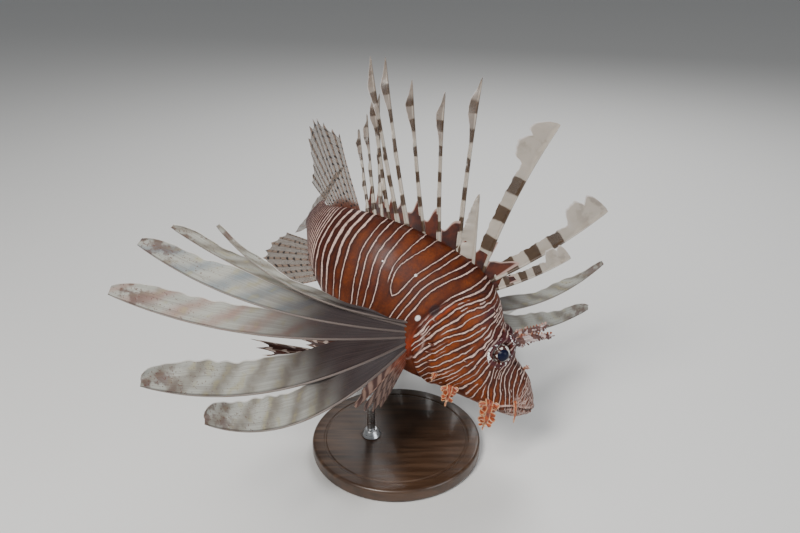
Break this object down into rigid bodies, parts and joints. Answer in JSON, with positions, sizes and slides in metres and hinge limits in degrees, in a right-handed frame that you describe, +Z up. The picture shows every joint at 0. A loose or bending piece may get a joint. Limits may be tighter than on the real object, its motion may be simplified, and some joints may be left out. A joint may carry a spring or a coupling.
{
  "type": "red lionfish model",
  "caption": "Life-size red lionfish, nose down with its tail curled away and its long fin rays and back spines spread, on a plain round stand.",
  "frame": {"origin": "middle of the underside of the stand's base", "axes": "+Z up; -Y towards the fish's right side, which the picture shows; +X the way the fish heads, nose down and turned a little towards -Y"},
  "size_m": [0.3364, 0.3243, 0.2759],
  "materials": {
    "skin": "moist scaled skin, red-brown bars parted by thin pinkish-white lines",
    "eye": "glossy, near black with white flecks round the rim",
    "banded_fin": "spines banded white and olive brown with thin pale webs",
    "spotted_fin": "thin pale fin web with rows of black spots",
    "pale_fin": "pearly pale grey web with faint warm cross bands",
    "red_fin": "red-brown web with white spots",
    "feeler": "frilled orange and white skin",
    "stand_base": "dark satin wood",
    "stand_rod": "satin steel"
  },
  "bodies": {
    "root": {"head": "skin", "lower_jaw": "skin", "trunk": "skin", "tail_root": "skin", "eye_right": "eye", "eye_left": "eye", "dorsal_spines": "banded_fin", "soft_dorsal_fin": "spotted_fin", "anal_fin": "spotted_fin", "tail_fin": "spotted_fin", "pectoral_fin_right": "pale_fin", "pectoral_fin_left": "pale_fin", "pelvic_fin_right": "red_fin", "pelvic_fin_left": "red_fin", "brow_tentacle_right": "feeler", "brow_tentacle_left": "feeler", "nostril_cirrus_right": "feeler", "nostril_cirrus_left": "feeler", "lip_flap_right": "feeler", "lip_flap_left": "feeler", "jowl_flap_right": "feeler", "jowl_flap_left": "feeler", "cheek_flap_right": "feeler", "cheek_flap_left": "feeler", "gill_flap_right": "feeler", "gill_flap_left": "feeler", "stand_base": "stand_base", "stand_rod": "stand_rod"}
  },
  "joints": []
}
